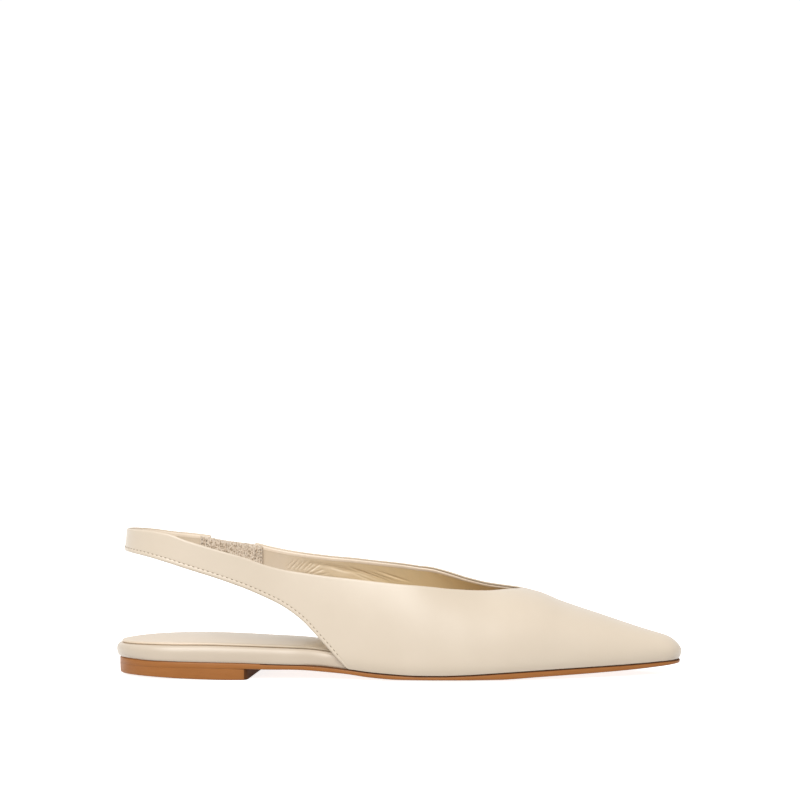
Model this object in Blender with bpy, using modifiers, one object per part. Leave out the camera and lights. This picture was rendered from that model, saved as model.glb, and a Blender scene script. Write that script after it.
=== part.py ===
"""A pointed slingback flat for the right foot, as the pieces that a shoemaker puts together.

+X runs from heel to toe, +Y to the inner side of the foot and +Z up, and the shoe stands on z = 0.
One last drives every piece: its plan, its sole line, its ridge and the cut edges of the upper.
"""

import math
from collections import namedtuple

import bmesh
import bpy
from mathutils import Vector

MM = 0.001
LATERAL, MEDIAL = -1, 1

# Sizes of the last
LENGTH = 264 * MM
BALL_WIDTH = 71 * MM
HEEL_HEIGHT = 8.55 * MM
VAMP_HEIGHT = 40.05 * MM
STRAP_HEIGHT = 67.57 * MM

# Thicknesses, and the gap left between neighbouring pieces
WALL = 1.8 * MM
SOCK_THICKNESS = 1.1 * MM
ELASTIC_THICKNESS = 1.0 * MM
SEAM = 0.3 * MM

# Plan of the sole's edge: station in % of LENGTH, half widths from the heel to toe line in % of BALL_WIDTH,
# and how far the last's body stands out over the narrow waist on the inner side
Plan = namedtuple("Plan", "station lateral medial medial_body")
PLAN = (
    Plan(0, 33.5, 33.5, 0),
    Plan(12, 35.6, 36.0, 0),
    Plan(21.5, 37.0, 34.6, 1.0),
    Plan(30, 36.4, 30.6, 5.0),
    Plan(38, 37.3, 29.0, 7.0),
    Plan(47, 42.8, 34.8, 5.5),
    Plan(55, 46.6, 45.2, 2.2),
    Plan(60, 46.9, 50.8, 0.6),
    Plan(66, 44.8, 53.0, 0),
    Plan(71, 41.5, 50.0, 0),
    Plan(77, 36.0, 42.4, 0),
    Plan(85, 27.7, 30.8, 0),
    Plan(92, 19.0, 20.0, 0),
    Plan(97, 11.8, 11.8, 0),
    Plan(100, 7.0, 7.0, 0),
)

# Sole line: station in % of LENGTH, heights above the floor in % of HEEL_HEIGHT
Sole = namedtuple("Sole", "station bottom top footbed")
SOLE = (
    Sole(0, 66, 100, 172.6),
    Sole(7, 66, 100, 179.7),
    Sole(15.5, 64.4, 95.9, 182.5),
    Sole(22.5, 60.2, 91.9, 177.2),
    Sole(27.7, 52.1, 85.4, 170.8),
    Sole(33, 45.6, 80.7, 163.8),
    Sole(36.5, 36.9, 73.7, 152.7),
    Sole(40.7, 25.1, 60.2, 132.8),
    Sole(45, 8.7, 45, 109.3),
    Sole(50, 0, 33.9, 93),
    Sole(53, 0, 30.4, 85.9),
    Sole(57, 0, 30.4, 82.4),
    Sole(60.5, 0, 33.4, 82.4),
    Sole(67, 0, 42.7, 88.3),
    Sole(74, 8.7, 52.1, 96.5),
    Sole(85, 22.3, 63.7, 107),
    Sole(92, 33.4, 70.8, 112.9),
    Sole(96, 43.8, 76.6, 117.6),
    Sole(100, 56.7, 80.7, 121),
)

# Ridge of the last, over the toes and up the instep: heights in % of VAMP_HEIGHT
Ridge = namedtuple("Ridge", "station height")
RIDGE = (
    Ridge(17.4, 355.3),
    Ridge(25.4, 265.4),
    Ridge(32, 222.5),
    Ridge(41, 202.1),
    Ridge(50, 177.6),
    Ridge(55, 151.6),
    Ridge(59, 130.2),
    Ridge(62.5, 115.9),
    Ridge(66, 106.7),
    Ridge(69.5, 102),
    Ridge(71.4, 100),
    Ridge(74.9, 94.2),
    Ridge(78.4, 84.7),
    Ridge(85.5, 68.9),
    Ridge(92.6, 53.3),
    Ridge(96.5, 45.6),
)

# Cut edges of the upper: lower edge and topline on either side, heights in % of STRAP_HEIGHT
Edge = namedtuple("Edge", "station lateral_low lateral_top medial_low medial_top")
EDGES = (
    Edge(1.5, 85, 100, 85, 100),
    Edge(5.5, 82.9, 99.8, 82.8, 98),
    Edge(9.5, 79.3, 98.2, 80.1, 95.5),
    Edge(13, 75.3, 93.9, 77.8, 94),
    Edge(18, 69.3, 88.1, 72.9, 91.4),
    Edge(23, 62.5, 82.6, 67.3, 88.5),
    Edge(27, 55.8, 77, 60.6, 84.8),
    Edge(30, 49.9, 74, 53.3, 82.5),
    Edge(33.5, 39.9, 71.8, 43, 80.4),
    Edge(36, 29.6, 70.4, 31.9, 79.2),
    Edge(38.3, 19.6, 69.3, 20.2, 78.2),
    Edge(41.3, 7, 68.2, 7, 77.2),
    Edge(45, 0, 66.7, 0, 75.5),
    Edge(50, 0, 64.8, 0, 73.3),
    Edge(53.6, 0, 63.7, 0, 71.5),
)

# Stations where the lofts turn
THROAT_X = 0.714 * LENGTH
COLLAR_X = 0.536 * LENGTH
TOE_X = 0.965 * LENGTH
HEEL_X = 0.174 * LENGTH
CORNER_X = 0.413 * LENGTH
BREAST_X = 0.249 * LENGTH
STRAP_END_TURN = math.radians(6.5)
QUARTER_END_X = 63.2 * MM

# Shape of the last between its tables
FULLNESS = 2.2
HEEL_POWER, HEEL_ROUND = 2.0, 33 * MM
TOE_POWER, TOE_ROUND = 2.2, 7 * MM
OVERHANG = 1.3 * MM
TUCK, TOE_TUCK = 1.2 * MM, 2.2 * MM
TUCK_HEIGHT = 6 * MM
BODY_HEIGHT = 24 * MM
THROAT_FLARE = {LATERAL: 0.75, MEDIAL: 0.64}
THROAT_ROUND = 4 * MM
STRAP_BACK_X = 4.2 * MM
STRAP_SHARE = 0.955
STRAP_POWER = 2.1

# Sole, heel and footbed
NARROW = 14 * MM
SOLE_START, SOLE_END = 2.4 * MM, LENGTH - 1.8 * MM
SOLE_EDGE_RISE = 0.8 * MM
RISE_STARTS, RISE_FULL = 60 * MM, 95 * MM
HEEL_LIFT = 1.2 * MM
HEEL_FLAT_X, HEEL_LIFTED_X = 48 * MM, 7 * MM
HEEL_DRAFT = 0.15 * MM
BREAST_SKEW = math.tan(math.radians(7))
BREAST_ROUND = 3 * MM
INSOLE_START, INSOLE_END = 0.9 * MM, LENGTH - 8 * MM
INSOLE_SPREAD, INSOLE_INSET = 0.6 * MM, -2.3 * MM
INSOLE_TURNS_IN, INSOLE_TURNED_IN = 82 * MM, 97 * MM
SOCK_START, SOCK_END = 3.3 * MM, LENGTH - 12 * MM
SOCK_INSET = 2.4 * MM
SOCK_DOME = 0.4 * MM

# Elastic behind the inner side's gap
ELASTIC_TURN = math.radians(19.5)
ELASTIC_END_X = 67.3 * MM
ELASTIC_TRIM = 0.7 * MM
ELASTIC_INSET = WALL + 0.5 * MM

# Density of the meshes
WALL_ROWS = 10
TOE_FANS = 7
VAMP_COLUMNS = 12
THROAT_STEPS = (0.012, 0.045, 0.1, 0.18, 0.29, 0.43, 0.6, 0.8)
HEEL_FANS = 12


def curve(rows, column, unit):
    """Smooth curve through one column of a table, over the distance from the heel back."""
    xs = [row.station * LENGTH / 100 for row in rows]
    ys = [getattr(row, column) * unit / 100 for row in rows]
    runs = [b - a for a, b in zip(xs, xs[1:])]
    rises = [(b - a) / run for a, b, run in zip(ys, ys[1:], runs)]
    slopes = [rises[0]]
    for before, after in zip(rises, rises[1:]):
        slopes.append(2 * before * after / (before + after) if before * after > 0 else 0.0)
    slopes.append(rises[-1])

    def at(x):
        x = min(max(x, xs[0]), xs[-1])
        i = max(k for k in range(len(runs)) if xs[k] <= x)
        t = (x - xs[i]) / runs[i]
        return (
            ys[i] * (1 + 2 * t) * (1 - t) ** 2
            + ys[i + 1] * t * t * (3 - 2 * t)
            + runs[i] * t * (1 - t) * (slopes[i] * (1 - t) - slopes[i + 1] * t)
        )

    return at


half_plan = {
    LATERAL: curve(PLAN, "lateral", BALL_WIDTH),
    MEDIAL: curve(PLAN, "medial", BALL_WIDTH),
}
medial_body = curve(PLAN, "medial_body", BALL_WIDTH)
sole_bottom = curve(SOLE, "bottom", HEEL_HEIGHT)
sole_top = curve(SOLE, "top", HEEL_HEIGHT)
footbed = curve(SOLE, "footbed", HEEL_HEIGHT)
ridge = curve(RIDGE, "height", VAMP_HEIGHT)
low_edge = {
    LATERAL: curve(EDGES, "lateral_low", STRAP_HEIGHT),
    MEDIAL: curve(EDGES, "medial_low", STRAP_HEIGHT),
}
topline = {
    LATERAL: curve(EDGES, "lateral_top", STRAP_HEIGHT),
    MEDIAL: curve(EDGES, "medial_top", STRAP_HEIGHT),
}


def steps(first, last, count):
    """Evenly spaced values, both ends included."""
    return [first + (last - first) * k / count for k in range(count + 1)]


def smooth_step(x, first, last):
    t = min(max((x - first) / (last - first), 0), 1)
    return t * t * (3 - 2 * t)


def material(name, colour, roughness):
    made = bpy.data.materials.new(name)
    made.use_nodes = True
    shader = made.node_tree.nodes["Principled BSDF"]
    shader.inputs["Base Color"].default_value = (*colour, 1)
    shader.inputs["Roughness"].default_value = roughness
    return made


def add_object(name, bm, surface):
    mesh = bpy.data.meshes.new(name)
    bm.to_mesh(mesh)
    bm.free()
    mesh.shade_smooth()
    mesh.materials.append(surface)
    made = bpy.data.objects.new(name, mesh)
    parts.objects.link(made)
    made.parent = stand
    return made


# Scene, emptied, with one collection for the parts and an empty that carries them
for old in list(bpy.data.objects):
    bpy.data.objects.remove(old)
parts = bpy.data.collections.new("slingback_flat")
bpy.context.scene.collection.children.link(parts)
stand = bpy.data.objects.new("slingback_flat", None)
parts.objects.link(stand)


# Slabs: rings across the shoe, one a station, skinned from heel to toe
def slab_stations(start, end, count):
    """Stations from start to end that crowd together at the round ends."""
    return [start + (end - start) * (1 - math.cos(math.pi * (k + 0.5) / count)) / 2 for k in range(count)]


def half_width(x, side, start, end, spread):
    """Half width of a slab whose outline stands this far outside the sole's own edge."""
    heel = min((x - start) / HEEL_ROUND, 1)
    toe = min((end - x) / TOE_ROUND, 1)
    heel_share = (1 - (1 - heel) ** HEEL_POWER) ** (1 / HEEL_POWER)
    toe_share = (1 - (1 - toe) ** TOE_POWER) ** (1 / TOE_POWER)
    return (half_plan[side](x) + spread) * heel_share * toe_share


def flank_points(x, side, start, end, spread, flank):
    """Points up one side of a ring: each row of the flank is an inset from the outline and a height."""
    nudge = 0.01 * MM
    width = half_width(x, side, start, end, spread)
    flare = (
        half_width(x + nudge, side, start, end, spread) - half_width(x - nudge, side, start, end, spread)
    ) / (2 * nudge)
    outward = Vector((-flare, side, 0)).normalized()
    share = 1 if x < LENGTH / 2 else min(width / NARROW, 1)
    return [Vector((x, side * width, height)) - outward * inset * share for inset, height in flank]


def skin(rings):
    """Closed body through rings of equal count, with a cap at either end."""
    bm = bmesh.new()
    grid = [[bm.verts.new(point) for point in ring] for ring in rings]
    for ring, following in zip(grid, grid[1:]):
        for k in range(len(ring)):
            bm.faces.new((ring[k - 1], ring[k], following[k], following[k - 1]))
    for ring in (grid[0], grid[-1]):
        for k in range(len(ring) // 2 - 1):
            bm.faces.new((ring[k], ring[k + 1], ring[-2 - k], ring[-1 - k]))
        if len(ring) % 2:
            middle = len(ring) // 2
            bm.faces.new(ring[middle - 1 : middle + 2])
    bmesh.ops.recalc_face_normals(bm, faces=bm.faces)
    return bm


# Outsole: thin leather, feathered at the toe, its tread eased up to a softened edge
def sole_flank(x):
    low, high = sole_bottom(x), sole_top(x)
    rise = SOLE_EDGE_RISE * smooth_step(x, RISE_STARTS, RISE_FULL)
    return [
        (9 * MM, low),
        (3.5 * MM, low + 0.4 * rise),
        (0.7 * MM, low + rise),
        (0.0, low + rise + 0.5 * MM),
        (0.0, high - 0.3 * MM),
        (0.25 * MM, high),
    ]


rings = []
for x in slab_stations(SOLE_START, SOLE_END, 46):
    ring = flank_points(x, LATERAL, SOLE_START, SOLE_END, 0.0, sole_flank(x))
    ring += flank_points(x, MEDIAL, SOLE_START, SOLE_END, 0.0, sole_flank(x))[::-1]
    rings.append(ring)
add_object("outsole", skin(rings), material("sole_leather", (0.36, 0.165, 0.065), 0.45))


# Heel: low block under the seat, flat by its straight breast and eased up towards the back
def heel_bottom(x):
    return HEEL_LIFT * smooth_step(HEEL_FLAT_X - x, 0, HEEL_FLAT_X - HEEL_LIFTED_X)


def heel_flank(x, rounding):
    low, high = heel_bottom(x), sole_bottom(x) - SEAM
    return [
        (0.8 * MM + HEEL_DRAFT + rounding, low),
        (0.2 * MM + HEEL_DRAFT + rounding, low + 0.2 * MM),
        (HEEL_DRAFT + rounding, low + 0.8 * MM),
        (rounding, high),
    ]


rings = []
heel_stations = slab_stations(SOLE_START, 2 * BREAST_X - SOLE_START, 36)[:16]
heel_stations += [HEEL_FLAT_X, BREAST_X - BREAST_ROUND]
heel_rings = [(x, 0.0) for x in heel_stations if x <= BREAST_X - BREAST_ROUND]
for turn in steps(0, math.pi / 2, 3)[1:]:
    heel_rings.append((BREAST_X - BREAST_ROUND * (1 - math.sin(turn)), BREAST_ROUND * (1 - math.cos(turn))))
for x, rounding in sorted(heel_rings):
    ring = flank_points(x, LATERAL, SOLE_START, SOLE_END, 0.0, heel_flank(x, rounding))
    ring += flank_points(x, MEDIAL, SOLE_START, SOLE_END, 0.0, heel_flank(x, rounding))[::-1]
    for point in ring:
        point.x += BREAST_SKEW * point.y * x / BREAST_X
    rings.append(ring)
add_object("heel", skin(rings), material("heel_leather", (0.38, 0.165, 0.06), 0.45))


# Insole: leather-wrapped footbed, its round edge proud of the sole at the heel and inside the upper ahead
INSOLE_EDGE = (
    (1.7 * MM, 0.0),
    (0.7 * MM, 0.1),
    (0.15 * MM, 0.33),
    (0.0, 0.56),
    (0.25 * MM, 0.77),
    (0.9 * MM, 0.93),
    (2.1 * MM, 1.0),
)


def insole_spread(x):
    turned = smooth_step(x, INSOLE_TURNS_IN, INSOLE_TURNED_IN)
    return INSOLE_SPREAD + (INSOLE_INSET - INSOLE_SPREAD) * turned


def insole_flank(x):
    low, high = sole_top(x) + SEAM, footbed(x)
    return [(inset, low + (high - low) * share) for inset, share in INSOLE_EDGE]


rings = []
for x in slab_stations(INSOLE_START, INSOLE_END, 50):
    ring = flank_points(x, LATERAL, INSOLE_START, INSOLE_END, insole_spread(x), insole_flank(x))
    ring += flank_points(x, MEDIAL, INSOLE_START, INSOLE_END, insole_spread(x), insole_flank(x))[::-1]
    rings.append(ring)
add_object("insole", skin(rings), material("insole_leather", (0.74, 0.62, 0.47), 0.5))


# Sock: padded lining on the footbed, a little domed, with a soft edge
SOCK_EDGE = ((0.8 * MM, 0.0), (0.15 * MM, 0.25), (0.0, 0.5), (0.3 * MM, 0.85), (1.3 * MM, 1.0))
DOME = ((0.2, 0.65), (0.5, 1.0), (0.8, 0.65))


def sock_flank(x):
    low = footbed(x) + SEAM
    return [(inset, low + SOCK_THICKNESS * share) for inset, share in SOCK_EDGE]


rings = []
for x in slab_stations(SOCK_START, SOCK_END, 44):
    spread = insole_spread(x) - SOCK_INSET
    near = flank_points(x, LATERAL, SOCK_START, SOCK_END, spread, sock_flank(x))
    far = flank_points(x, MEDIAL, SOCK_START, SOCK_END, spread, sock_flank(x))
    dome = [near[-1].lerp(far[-1], across) + Vector((0, 0, SOCK_DOME * rise)) for across, rise in DOME]
    rings.append(near + dome + far[::-1])
add_object("sock", skin(rings), material("sock_leather", (0.78, 0.66, 0.52), 0.5))


# Last above the feather edge: sections from the sole up to the ridge, fanned round the toe and the heel
Section = namedtuple("Section", "origin heading reach body tuck base crown slope")


def side_section(x, side):
    body = medial_body(x) if side == MEDIAL else 0.0
    reach = half_plan[side](x) + OVERHANG + body
    base = sole_top(x) + SEAM
    return Section(Vector((x, 0, 0)), Vector((0, side, 0)), reach, body, TUCK, base, ridge(x), 0)


def toe_reach(side, turn):
    """Distance from the toe's pole to the plan outline, looking ahead at this turn from the side."""
    near, far = 0.0, 0.1 * LENGTH
    for _ in range(40):
        reach = (near + far) / 2
        ahead = min(TOE_X + reach * math.sin(turn), LENGTH)
        inside = reach * math.cos(turn) < half_width(ahead, side, 0, LENGTH, OVERHANG)
        inside = inside and TOE_X + reach * math.sin(turn) < LENGTH
        near, far = (reach, far) if inside else (near, reach)
    return near


def toe_section(side, turn):
    """Section turned from the side towards the toe tip."""
    heading = Vector((math.sin(turn), side * math.cos(turn), 0))
    reach = toe_reach(side, turn)
    base = sole_top(TOE_X + heading.x * reach) + SEAM
    slope = (ridge(TOE_X) - ridge(TOE_X - 6 * MM)) / (6 * MM) * heading.x
    tuck = TUCK + (TOE_TUCK - TUCK) * math.sin(turn)
    return Section(Vector((TOE_X, 0, 0)), heading, reach, 0.0, tuck, base, ridge(TOE_X), slope)


def heel_section(side, turn):
    """Section turned from the side towards the heel back, where the strap stands off the footbed."""
    aside, behind = math.cos(turn), math.sin(turn)
    flank = side_section(HEEL_X, side)
    back_reach = (HEEL_X - STRAP_BACK_X) / STRAP_SHARE
    nearness = (behind / back_reach) ** STRAP_POWER + (aside / flank.reach) ** STRAP_POWER
    heading = Vector((-behind, side * aside, 0))
    return flank._replace(heading=heading, reach=nearness ** (-1 / STRAP_POWER))


def wall_point(section, angle):
    across = max(math.cos(angle), 0) ** (2 / FULLNESS)
    rise = math.sin(angle) ** (2 / FULLNESS)
    out = section.reach * across
    height = (section.crown + section.slope * out - section.base) * rise
    out -= section.tuck * max(0, 1 - height / TUCK_HEIGHT) ** 2
    out -= section.body * max(0, 1 - height / BODY_HEIGHT) ** 2
    return section.origin + section.heading * out + Vector((0, 0, section.base + height))


def angle_at(section, height):
    rise = (height - section.base) / (section.crown - section.base)
    return math.asin(min(max(rise, 0), 1) ** (FULLNESS / 2))


def full_column(section):
    return [wall_point(section, angle) for angle in steps(0, math.pi / 2, WALL_ROWS)]


def cut_column(section, side, trim=0.0):
    """Column of points between the upper's lower edge and its topline."""
    middle = wall_point(section, angle_at(section, (low_edge[side](section.origin.x) + STRAP_HEIGHT) / 2))
    low = angle_at(section, low_edge[side](middle.x) + trim)
    high = angle_at(section, topline[side](middle.x) - trim)
    return [wall_point(section, angle) for angle in steps(low, high, WALL_ROWS)]


def throat_column(share, side):
    """Column up to the throat's rim, a rounded V that opens from its point back to the collar."""
    behind = (THROAT_X - COLLAR_X) * share
    collar = side_section(COLLAR_X, side)
    collar_half = wall_point(collar, angle_at(collar, topline[side](COLLAR_X))).y * side
    straight = collar_half * share * (1 + THROAT_FLARE[side] * (1 - share))
    half = math.sqrt(straight**2 + 2 * THROAT_ROUND * behind * (1 - share) ** 4)
    section = side_section(THROAT_X - behind, side)
    high = math.acos((half / section.reach) ** (FULLNESS / 2))
    return [wall_point(section, angle) for angle in steps(0, high, WALL_ROWS)]


def add_wall(bm, columns, flipped):
    grid = [[bm.verts.new(point) for point in column] for column in columns]
    for column, following in zip(grid, grid[1:]):
        for k in range(len(column) - 1):
            corners = (column[k], following[k], following[k + 1], column[k + 1])
            bm.faces.new(corners[::-1] if flipped else corners)


def shell(made, thickness):
    solidify = made.modifiers.new("wall", "SOLIDIFY")
    solidify.thickness = thickness
    solidify.offset = -1
    solidify.use_even_offset = True
    solidify.use_quality_normals = True


# Upper: vamp, both quarters and the sling strap, cut in one and lasted over the sole
def vamp_columns(side):
    columns = []
    for turn in steps(math.pi / 2, 0, TOE_FANS)[:-1]:
        columns.append(full_column(toe_section(side, turn)))
    for x in steps(TOE_X, THROAT_X, VAMP_COLUMNS):
        columns.append(full_column(side_section(x, side)))
    columns += [throat_column(share, side) for share in THROAT_STEPS]
    columns += [cut_column(side_section(x, side), side) for x in steps(COLLAR_X, CORNER_X, 5)]
    return columns


def heel_column(side, turn, trim=0.0, inset=0.0):
    section = heel_section(side, turn)
    return cut_column(section._replace(reach=section.reach - inset), side, trim)


lateral = vamp_columns(LATERAL)
lateral += [cut_column(side_section(x, LATERAL), LATERAL) for x in steps(CORNER_X, HEEL_X, 13)[1:]]
lateral += [heel_column(LATERAL, turn) for turn in steps(0, math.pi / 2, HEEL_FANS)[1:]]
lateral += [heel_column(MEDIAL, turn) for turn in steps(math.pi / 2, STRAP_END_TURN, HEEL_FANS - 2)[1:]]
medial = vamp_columns(MEDIAL)
medial += [cut_column(side_section(x, MEDIAL), MEDIAL) for x in steps(CORNER_X, QUARTER_END_X, 9)[1:]]
bm = bmesh.new()
add_wall(bm, lateral, True)
add_wall(bm, medial, False)
bmesh.ops.remove_doubles(bm, verts=bm.verts, dist=0.01 * MM)
upper = add_object("upper", bm, material("upper_leather", (0.82, 0.71, 0.57), 0.42))
shell(upper, WALL)


# Elastic gore: knitted strip that joins the strap's end to the inner quarter from behind
def elastic_side(x):
    section = side_section(x, MEDIAL)
    return cut_column(section._replace(reach=section.reach - ELASTIC_INSET), MEDIAL, ELASTIC_TRIM)


strip = [heel_column(MEDIAL, turn, ELASTIC_TRIM, ELASTIC_INSET) for turn in steps(ELASTIC_TURN, 0, 4)]
strip += [elastic_side(x) for x in steps(HEEL_X, ELASTIC_END_X, 6)[1:]]
bm = bmesh.new()
add_wall(bm, strip, True)
elastic = add_object("elastic_gore", bm, material("elastic_knit", (0.50, 0.44, 0.36), 0.85))
shell(elastic, ELASTIC_THICKNESS)


# Stand the shoe over the origin, on its sole
bpy.context.view_layer.update()
graph = bpy.context.evaluated_depsgraph_get()
corners = []
for made in parts.objects:
    if made.type == "MESH":
        corners += [made.matrix_world @ vertex.co for vertex in made.evaluated_get(graph).data.vertices]
lowest = [min(corner[axis] for corner in corners) for axis in range(3)]
highest = [max(corner[axis] for corner in corners) for axis in range(3)]
stand.location = (-(lowest[0] + highest[0]) / 2, -(lowest[1] + highest[1]) / 2, -lowest[2])
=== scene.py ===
import math
from collections import namedtuple

import bmesh
import bpy
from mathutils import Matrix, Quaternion, Vector


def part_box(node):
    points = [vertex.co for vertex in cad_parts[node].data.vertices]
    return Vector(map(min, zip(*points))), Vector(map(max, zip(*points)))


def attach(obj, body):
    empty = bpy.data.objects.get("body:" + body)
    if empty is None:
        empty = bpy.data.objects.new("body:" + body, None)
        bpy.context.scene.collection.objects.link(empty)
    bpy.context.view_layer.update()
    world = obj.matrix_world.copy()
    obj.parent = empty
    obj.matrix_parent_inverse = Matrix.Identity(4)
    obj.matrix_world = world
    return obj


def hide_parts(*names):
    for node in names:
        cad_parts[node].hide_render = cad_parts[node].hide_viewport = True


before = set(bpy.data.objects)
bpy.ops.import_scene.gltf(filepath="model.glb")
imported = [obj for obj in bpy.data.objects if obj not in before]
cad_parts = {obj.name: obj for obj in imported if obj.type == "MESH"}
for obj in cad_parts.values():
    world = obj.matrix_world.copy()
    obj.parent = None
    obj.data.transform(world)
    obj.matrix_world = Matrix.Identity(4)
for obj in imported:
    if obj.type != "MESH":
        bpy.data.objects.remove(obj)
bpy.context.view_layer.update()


# Outsole
# One thin piece of tan sole leather from the heel seat to the toe tip, cut to the last's plan and
# skived at the toe. Its edge is ground and waxed, and it is cemented under the lasted upper.
# Ahead of the waist the top of its edge is dark: edge ink, and painted shade of the joint under the
# upper.
MM = 0.001
LATERAL, MEDIAL = -1, 1
LENGTH = 264 * MM
BALL_WIDTH = 71 * MM
HEEL_HEIGHT = 8.55 * MM
SOLE_START, SOLE_END = 2.4 * MM, LENGTH - 1.8 * MM
SOLE_STATIONS = 150
CAD_SOLE_STATIONS = 46
SOLE_EDGE_RISE = 0.8 * MM
RISE_STARTS, RISE_FULL = 60 * MM, 95 * MM
TREAD_EASE = 8.2 * MM
TIP_BLUNT, TIP_REACH = 0.6, 6 * MM
INK_AND_SHADE_BAND, INK_AND_SHADE_FROM_X = 0.6 * MM, 68 * MM
SHARP_CORNER = math.radians(50)
EDGE_SOFTENS, EDGE_SOFT, HEEL_SOFTNESS = 56 * MM, 66 * MM, 0.1
NARROW = 14 * MM
HEEL_POWER, HEEL_ROUND = 2.0, 33 * MM
TOE_POWER, TOE_ROUND = 2.2, 7 * MM
SOLE_TAN, SOLE_DEEP_TAN = (0.405, 0.148, 0.029), (0.37, 0.131, 0.024)
SOLE_INK_AND_SHADE, SOLE_DEEP_INK_AND_SHADE = (0.17, 0.068, 0.024), (0.13, 0.050, 0.018)
WAX_UNEVEN, WAX_GLOSS, WAX_COAT, WAX_COAT_ROUGHNESS = 0.06, 0.5, 0.15, 0.3
FIBRE_RELIEF, FIBRE_DEPTH = 0.02, 0.2 * MM

# Edge of the sole in section, in mm: insets of the tread, then an inset and a height for each point
# of the lower corner, and an inset and a depth for each of the upper one
TREAD_INSETS = (9.0, 7.4, 5.8, 4.4, 3.2, 2.2, 1.4, 0.9)
LOWER_CORNER = ((0.4, 0.06), (0.12, 0.2), (0.0, 0.45))
UPPER_CORNER = ((0.0, 0.75), (0.08, 0.5), (0.3, 0.22), (0.65, 0.06), (1.1, 0.0))

# Plan of the sole's edge: station in % of LENGTH, half widths in % of BALL_WIDTH, and in the last
# column how much fuller the upper is than the sole on its inner side
Plan = namedtuple("Plan", "station lateral medial medial_body")
PLAN = (
    Plan(0, 33.5, 33.5, 0),
    Plan(12, 35.6, 36.0, 0),
    Plan(21.5, 37.0, 34.6, 1.0),
    Plan(30, 36.4, 30.6, 5.0),
    Plan(38, 37.3, 29.0, 7.0),
    Plan(47, 42.8, 34.8, 5.5),
    Plan(55, 46.6, 45.2, 2.2),
    Plan(60, 46.9, 50.8, 0.6),
    Plan(66, 44.8, 53.0, 0),
    Plan(71, 41.5, 50.0, 0),
    Plan(77, 36.0, 42.4, 0),
    Plan(85, 27.7, 30.8, 0),
    Plan(92, 19.0, 20.0, 0),
    Plan(97, 11.8, 11.8, 0),
    Plan(100, 7.0, 7.0, 0),
)

# Sole line: station in % of LENGTH, heights above the floor in % of HEEL_HEIGHT
Sole = namedtuple("Sole", "station bottom top footbed")
SOLE = (
    Sole(0, 66, 100, 172.6),
    Sole(7, 66, 100, 179.7),
    Sole(15.5, 64.4, 95.9, 182.5),
    Sole(22.5, 60.2, 91.9, 177.2),
    Sole(27.7, 52.1, 85.4, 170.8),
    Sole(33, 45.6, 80.7, 163.8),
    Sole(36.5, 36.9, 73.7, 152.7),
    Sole(40.7, 25.1, 60.2, 132.8),
    Sole(45, 8.7, 45, 109.3),
    Sole(50, 0, 33.9, 93),
    Sole(53, 0, 30.4, 85.9),
    Sole(57, 0, 30.4, 82.4),
    Sole(60.5, 0, 33.4, 82.4),
    Sole(67, 0, 42.7, 88.3),
    Sole(74, 8.7, 52.1, 96.5),
    Sole(85, 22.3, 63.7, 107),
    Sole(92, 33.4, 70.8, 112.9),
    Sole(96, 43.8, 76.6, 117.6),
    Sole(100, 56.7, 80.7, 121),
)


def curve(rows, column, unit):
    """Smooth curve through one column of a table, over the distance from the heel back."""
    xs = [row.station * LENGTH / 100 for row in rows]
    ys = [getattr(row, column) * unit / 100 for row in rows]
    runs = [b - a for a, b in zip(xs, xs[1:])]
    rises = [(b - a) / run for a, b, run in zip(ys, ys[1:], runs)]
    slopes = [rises[0]]
    for before, after in zip(rises, rises[1:]):
        slopes.append(2 * before * after / (before + after) if before * after > 0 else 0.0)
    slopes.append(rises[-1])

    def at(x):
        x = min(max(x, xs[0]), xs[-1])
        i = max(k for k in range(len(runs)) if xs[k] <= x)
        t = (x - xs[i]) / runs[i]
        return (
            ys[i] * (1 + 2 * t) * (1 - t) ** 2
            + ys[i + 1] * t * t * (3 - 2 * t)
            + runs[i] * t * (1 - t) * (slopes[i] * (1 - t) - slopes[i + 1] * t)
        )

    return at


half_plan = {
    LATERAL: curve(PLAN, "lateral", BALL_WIDTH),
    MEDIAL: curve(PLAN, "medial", BALL_WIDTH),
}
medial_body = curve(PLAN, "medial_body", BALL_WIDTH)
sole_bottom = curve(SOLE, "bottom", HEEL_HEIGHT)
sole_top = curve(SOLE, "top", HEEL_HEIGHT)
footbed = curve(SOLE, "footbed", HEEL_HEIGHT)


def steps(first, last, count):
    """Evenly spaced values, both ends included."""
    return [first + (last - first) * k / count for k in range(count + 1)]


def smooth_step(x, first, last):
    t = min(max((x - first) / (last - first), 0), 1)
    return t * t * (3 - 2 * t)


def slab_stations(start, end, count):
    """Stations from start to end that crowd together at the round ends."""
    turns = [math.pi * (k + 0.5) / count for k in range(count)]
    return [start + (end - start) * (1 - math.cos(turn)) / 2 for turn in turns]


def half_width(x, side, start, end, spread):
    """Half width of a slab whose outline stands this far outside the sole's own edge."""
    heel = min(max((x - start) / HEEL_ROUND, 0), 1)
    toe = min(max((end - x) / TOE_ROUND, 0), 1)
    heel_share = (1 - (1 - heel) ** HEEL_POWER) ** (1 / HEEL_POWER)
    toe_share = (1 - (1 - toe) ** TOE_POWER) ** (1 / TOE_POWER)
    return (half_plan[side](x) + spread) * heel_share * toe_share


def flank_points(x, side, start, end, spread, flank):
    """Points up one side of a ring: a flank's row is an inset from the outline and a height."""
    nudge = 0.01 * MM
    width = half_width(x, side, start, end, spread)
    ahead = half_width(x + nudge, side, start, end, spread)
    behind = half_width(x - nudge, side, start, end, spread)
    outward = Vector(((behind - ahead) / (2 * nudge), side, 0)).normalized()
    share = 1 if x < LENGTH / 2 else min(width / NARROW, 1)
    return [Vector((x, side * width, height)) - outward * inset * share for inset, height in flank]


def slab_ring(x, start, end, spreads, flank):
    """Ring across a slab: up its outer side and down its inner one."""
    near, far = (
        flank_points(x, side, start, end, spreads[side], flank) for side in (LATERAL, MEDIAL)
    )
    return near + far[::-1]


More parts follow.
